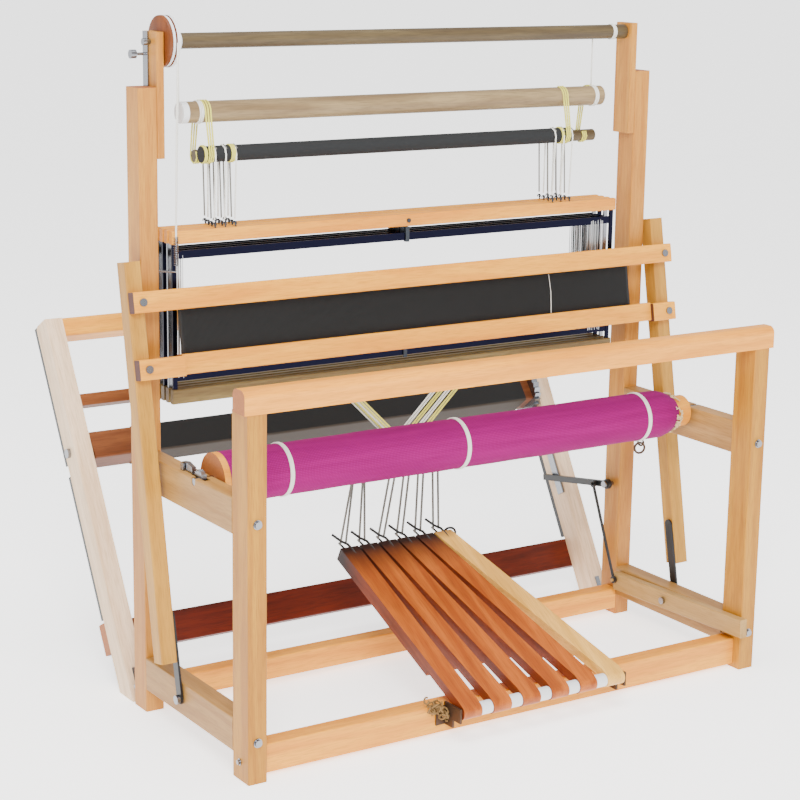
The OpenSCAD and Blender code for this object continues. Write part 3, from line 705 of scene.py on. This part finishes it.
# Loops over the upper roller: down the front to the front roller, down the back to the rear one
for body, axis, radius, away, places, node in (
    ("front_loops", FRONT_ROLLER, FRONT_R, -1, (-416, 350), "front_roller_cords"),
    ("rear_loops", REAR_ROLLER, REAR_R, 1, (-420, 420), "rear_roller_cords"),
):
    for i, x in enumerate(places):
        strands = []
        for shift in (-5, 0, 5):
            over = [
                at(
                    x + shift,
                    UPPER_ROLLER[0] + away * (UPPER_R + 1.4) * math.sin(a),
                    UPPER_ROLLER[1] + (UPPER_R + 1.4) * math.cos(a),
                )
                for a in (math.radians(d) for d in (0, 25, 50, 75, 95))
            ]
            under = [
                at(
                    x + shift * 0.8,
                    axis[0] + away * (radius + 1.4) * math.cos(a),
                    axis[1] - (radius + 1.4) * math.sin(a),
                )
                for a in (math.radians(d) for d in (0, 45, 90, 135, 180, 225))
            ]
            strands.append(tube(over + under, 0.0015))
        loop = piece(f"{body}_cord_{i + 1}", strands, yellow_cord)
        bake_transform(loop)
        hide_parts(node)

# Cords from the lower rollers to the shafts, each ending in a wire hook on the top bar
LEFT_CORDS = (-412, -392, -372)
RIGHT_CORDS = (316, 336, 356)
for k, depth in enumerate(SHAFT_DEPTHS, 1):
    if k < 3:
        axis, radius, parent = FRONT_ROLLER, FRONT_R, "front_loops"
    else:
        axis, radius, parent = REAR_ROLLER, REAR_R, "rear_loops"
    away = -1 if k in (1, 3) else 1
    strands, hooks = [], []
    for x in LEFT_CORDS + RIGHT_CORDS:
        x += 3 * k
        round_roller = [
            at(x, axis[0] + away * (radius + 1.2) * math.cos(a), axis[1] + (radius + 1.2) * math.sin(a))
            for a in (math.radians(d) for d in (140, 90, 40, 0))
        ]
        strands.append(tube(round_roller + [at(x, depth, 878)], 0.0014))
        hooks.append(ring(at(x, depth, 870), (0.3, 1, 0), 3, 1.0, 6, 14, 200, 290))
        hooks.append(tube([at(x, depth, 872), at(x + 2, depth, 864)], 0.0013, 6))
    cords = piece(f"shaft_cords_{k}", strands, cotton_cord if k % 2 else grey_cord)
    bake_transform(cords)
    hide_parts("harness_cords")
    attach(piece(f"cord_hooks_{k}", hooks, dark_wire), SHAFT_BODIES[k - 1])

    # Crossed cords from the bottom bar to the lamm, tied round the bar
    crossed = []
    for side in (-1, 1):
        for gap in (0, 7):
            top = at(side * (142 + gap), depth, 561)
            low = at(side * (4 + gap), depth, 427)
            crossed.append(tube([top, low], 0.0016))
    hanger = piece(f"lamm_cords_{k}", crossed, yellow_cord if k % 2 else cotton_cord)
    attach(hanger, SHAFT_BODIES[k - 1])
    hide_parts("harness_cords")

# Tie cords from the lamms to the hooks at the treadles' back ends
TIES = [(0, 1), (2, 3), (0, 0), (1, 1), (2, 2), (3, 3)]
HOOK_DEPTH = TREADLE_AXLE[0] + TREADLE_REACH * math.cos(math.radians(TREADLE_SLOPE))
HOOK_Z = TREADLE_AXLE[1] + TREADLE_REACH * math.sin(math.radians(TREADLE_SLOPE))
for t, (body, lamms, x) in enumerate(zip(TREADLE_BODIES, TIES, TREADLE_REAR_X), 1):
    strands = []
    for i, lamm in enumerate(lamms):
        foot = at(x + 12 * i - 6, HOOK_DEPTH + 6, HOOK_Z + 4)
        strands.append(tube([at(x + 12 * i + 34, SHAFT_DEPTHS[lamm], 405), foot], 0.0021))
    cord = piece(f"tie_cord_{t}", strands, grey_cord)
    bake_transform(cord)
    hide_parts("harness_cords")
    # Bent wire hook over the treadle's end
    bend = [at(x - 14, HOOK_DEPTH + 22, HOOK_Z + 22), at(x - 4, HOOK_DEPTH + 6, HOOK_Z + 12)]
    bend += [at(x + 2, HOOK_DEPTH - 8, HOOK_Z + 9), at(x + 4, HOOK_DEPTH - 22, HOOK_Z + 2)]
    bend += [at(x + 5, HOOK_DEPTH - 32, HOOK_Z - 4)]
    hook = [tube(bend, 0.0024, 8)]
    if t == 6:
        hook.append(ring(at(x + 24, HOOK_DEPTH - 6, HOOK_Z - 4), (0.4, 1, 0.2), 11, 2.2))
    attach(piece(f"treadle_hook_{t}", hook, black_enamel), body)

# Regulator cord from the top disk down to a coil spring on the left castle post
spring_path = [
    at(-492 + 3.6 * math.cos(a), 360 + 3.6 * math.sin(a), 806 + 50 * a / (2 * math.pi * 16))
    for a in (2 * math.pi * i / 10 for i in range(161))
]
spring = piece(
    "regulator_spring_coil",
    [
        tube(spring_path, 0.0009, 6),
        tube([at(-492, 360, 806), at(-492, 360, 797)], 0.0014),
        tube([at(-492, 360, 796), at(-515, 380, 796)], 0.0018),
    ],
    zinc_steel,
)
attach(spring, "frame")
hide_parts("regulator_spring")
regulator = piece(
    "regulator_cord",
    [
        tube([at(-486, 357.5, 1183), at(-490, 359, 1010), at(-492, 360, 856)], 0.0015),
        tube([at(-484, 359, 1180), at(-487, 361, 1010), at(-491, 361, 850)], 0.0012),
    ],
    cotton_cord,
)
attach(regulator, "frame")
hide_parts("harness_cords")


# ---------------------------------------------------------------- top shaft and rollers

DISK_PROFILE = [(-499, 40.5), (-498, 43.5), (-493, 44), (-492, 41)]
DISK_PROFILE += [(-486, 41), (-485, 43.5), (-480, 43.5), (-479, 41)]
FLANGE_PROFILE = [(-484.8, 40), (-484.5, 43.9), (-479.2, 43.9), (-479, 40)]
HUB_PROFILE = [(-478.8, 15), (-478, 17), (-463, 17), (-462, 14)]
disk = piece("grooved_disk", [turned(DISK_PROFILE, TOP_SHAFT, 72)], red_disk)
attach(disk, "top_shaft")
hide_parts("shaft_disk")
groove = [ring_round_x(x, TOP_SHAFT, 42.2, 1.3, 64) for x in (-491, -488.5)]
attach(piece("disk_cord", groove, white_nylon), "top_shaft")
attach(piece("disk_flange", [turned(FLANGE_PROFILE, TOP_SHAFT, 72)], white_nylon), "top_shaft")
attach(piece("shaft_hub", [turned(HUB_PROFILE, TOP_SHAFT, 40)], white_nylon), "top_shaft")
winding = [ring_round_x(x, TOP_SHAFT, TOP_SHAFT_R + 1.2, 1.1) for x in (466, 469, 472)]
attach(piece("shaft_binding", winding, cotton_cord), "top_shaft")
bindings = []
for x in (-430, -427, -424, 424, 427, 430):
    bindings.append(ring_round_x(x, UPPER_ROLLER, UPPER_R + 0.6, 1.3))
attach(piece("upper_roller_bindings", bindings, cotton_cord), "upper_roller")
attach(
    piece(
        "upper_roller_cap",
        [turned([(-462, 17), (-461.5, 18.8), (-450, 18.8), (-449.8, 18.4)], UPPER_ROLLER, 48)],
        white_nylon,
    ),
    "upper_roller",
)
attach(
    piece(
        "front_roller_bindings",
        [ring_round_x(x, FRONT_ROLLER, FRONT_R + 0.8, 1.5) for x in (-428, -425, -376, -373, -370, 336, 339)],
        yellow_cord,
    ),
    "front_roller",
)


# ---------------------------------------------------------------- shafts

for k, depth in enumerate(SHAFT_DEPTHS, 1):
    body = SHAFT_BODIES[k - 1]
    bars = [
        block(at(SHAFT_SIDES_X[0], depth - 1.2, z0), at(SHAFT_SIDES_X[1], depth + 1.2, z1))
        for z0, z1 in ((815, 829), (600, 613))
    ]
    rails = piece(f"heddle_bars_{k}", bars, blued_steel, False)
    uprights = piece(
        f"shaft_sides_{k}",
        [block(at(x - 4, depth - 2, 586), at(x + 4, depth + 2, 841)) for x in SHAFT_SIDES_X],
        blued_steel if k % 2 else zinc_steel,
        False,
    )
    left = wires(
        f"left_heddles_{k}", 7, 1.7, 216, 0.6, (0.5, 2.2, 1.5), k, tinned_wire,
        Matrix.Translation(at(-482, depth, 714)),
    )
    # Shafts 2 and 4 get the darker wire copy: painted shade.
    right = wires(
        f"right_heddles_{k}", 26, 1.55, 216, 0.6, (0.6, 2.4, 1.5), 10 + k,
        tinned_wire if k % 2 else dark_wire, Matrix.Translation(at(408, depth, 714)),
    )
    for made in (rails, uprights, left, right):
        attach(made, body)
        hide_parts(f"heddles_{k}")
    # Round-headed screw and the steel hanger that holds the heddle bar at its middle
    screw = [tube([at(MIDDLE_X, depth - 5.9, 852), at(MIDDLE_X, depth - 8.2, 852)], 0.004, 20)]
    hanger = [
        block(at(MIDDLE_X - 4, depth - 3.5, 812), at(MIDDLE_X + 4, depth - 2, 840)),
        block(at(MIDDLE_X - 4, depth + 2, 812), at(MIDDLE_X + 4, depth + 3.5, 840)),
        block(at(MIDDLE_X - 5, depth - 3.5, 596), at(MIDDLE_X + 3, depth - 2, 616)),
    ]
    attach(piece(f"middle_hanger_{k}", screw + hanger, dark_wire), body)


# ---------------------------------------------------------------- reed

for side, y in ((1, -6.2), (2, 2.2)):
    place = (
        Matrix.Translation(on_beater(-486, y, 630.5))
        @ Matrix.Rotation(math.radians(-BEATER_LEAN), 4, "X")
    )
    dents = wires(f"reed_dents_{side}", 442, 2.2, 76, 0.55, (0, 0, 0), 1, reed_wire, place)
    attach(dents, "beater")


thread = tube([on_beater(296, -7.4, 593), on_beater(299, -7.4, 634), on_beater(297, -7.4, 667)], 0.0007, 6)
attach(piece("reed_thread", [thread], cotton_cord), "beater")


# ---------------------------------------------------------------- woven cloth on the cloth beam

def rolled_cloth():
    """Cloth wound on the beam: slightly uneven along its length, with UV in metres along and round."""
    sides, columns = 72, 60
    shake = random.Random(4)
    waves = [(shake.uniform(2, 9), shake.uniform(0, 6), shake.uniform(0.15, 0.5)) for _ in range(5)]
    points, faces, maps = [], [], []
    for i in range(columns + 1):
        x = -501 + 974 * i / columns
        wobble = sum(h * math.sin(f * i / columns * 6 + p) for f, p, h in waves)
        fall = max(0.0, (x - 442) / 31)
        radius = 45.2 + wobble * 0.5 - 12 * fall**1.4
        for k in range(sides):
            angle = 2 * math.pi * k / sides
            seam = 0.8 if k < 2 else 0.0
            r = radius + seam * (1 - fall) + 0.25 * math.sin(3 * angle + i * 0.2)
            points.append(at(x, CLOTH_BEAM[0] + r * math.cos(angle), CLOTH_BEAM[1] + r * math.sin(angle)))
    for i in range(columns):
        for k in range(sides):
            n = (k + 1) % sides
            a, b = i * sides, (i + 1) * sides
            faces.append((a + k, a + n, b + n, b + k))
            u0, u1 = 0.974 * i / columns, 0.974 * (i + 1) / columns
            v0, v1 = 0.289 * k / sides, 0.289 * (k + 1) / sides
            maps += [(u0, v0), (u0, v1), (u1, v1), (u1, v0)]
    for i, inner in ((0, -499), (columns, 470)):
        shift = len(points)
        for k in range(sides):
            angle = 2 * math.pi * k / sides
            depth = CLOTH_BEAM[0] + CLOTH_CORE_R * math.cos(angle)
            points.append(at(inner, depth, CLOTH_BEAM[1] + CLOTH_CORE_R * math.sin(angle)))
        for k in range(sides):
            n = (k + 1) % sides
            a = i * sides
            faces.append((a + n, shift + n, shift + k, a + k) if i else (a + k, shift + k, shift + n, a + n))
            maps += [(0, 0), (0.02, 0), (0.02, 0.004), (0, 0.004)]
    made = piece("wound_cloth", [(points, faces)], magenta_cloth)
    layer = made.data.uv_layers.new(name="cloth")
    for loop, uv in zip(layer.data, maps):
        loop.uv = uv
    return made


roll = rolled_cloth()
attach(roll, "cloth_beam")
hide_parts("cloth_roll")
bands = []
for x in (-385, -22, 392):
    bands += [ring_round_x(x + shift, CLOTH_BEAM, 45.7, 1.5, 60) for shift in (-2.6, 0, 2.6)]
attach(piece("cloth_ties", bands, cotton_cord), "cloth_beam")
hanging = [ring(at(394, 176, 414), (0.3, 1, 0), 10, 2.2), ring(at(398, 178, 424), (1, 0.4, 0), 6, 1.8)]
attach(piece("tie_hook", hanging, rusty_steel), "cloth_beam")
# Ends of the warp yarn bunched past the cloth's right edge
shake = random.Random(8)
tufts = []
for i in range(60):
    angle = shake.uniform(0, 2 * math.pi)
    path = []
    for step in range(5):
        r = 38 - step * shake.uniform(0.5, 1.6) + shake.uniform(-1.5, 1.5)
        a = angle + step * shake.uniform(-0.05, 0.12)
        path.append(at(464 + step * 4, CLOTH_BEAM[0] + r * math.cos(a), CLOTH_BEAM[1] + r * math.sin(a)))
    tufts.append(tube(path, 0.0012, 6))
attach(piece("warp_ends", tufts, warp_yarn), "cloth_beam")


# ---------------------------------------------------------------- twine tied on the front rail

shake = random.Random(3)
knot = []
for i in range(34):
    along = shake.uniform(0, 1)
    centre = at(
        -186 + 40 * along + shake.uniform(-6, 6),
        14 + shake.uniform(-9, 9),
        64 - 26 * along + shake.uniform(-9, 9),
    )
    way = (shake.uniform(-1, 1), shake.uniform(-1, 1), shake.uniform(-1, 1))
    knot.append(ring(centre, way, shake.uniform(4, 9), 1.6, 6, 14, shake.uniform(0, 360), 300))
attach(piece("twine_knot", knot, jute_twine), "frame")
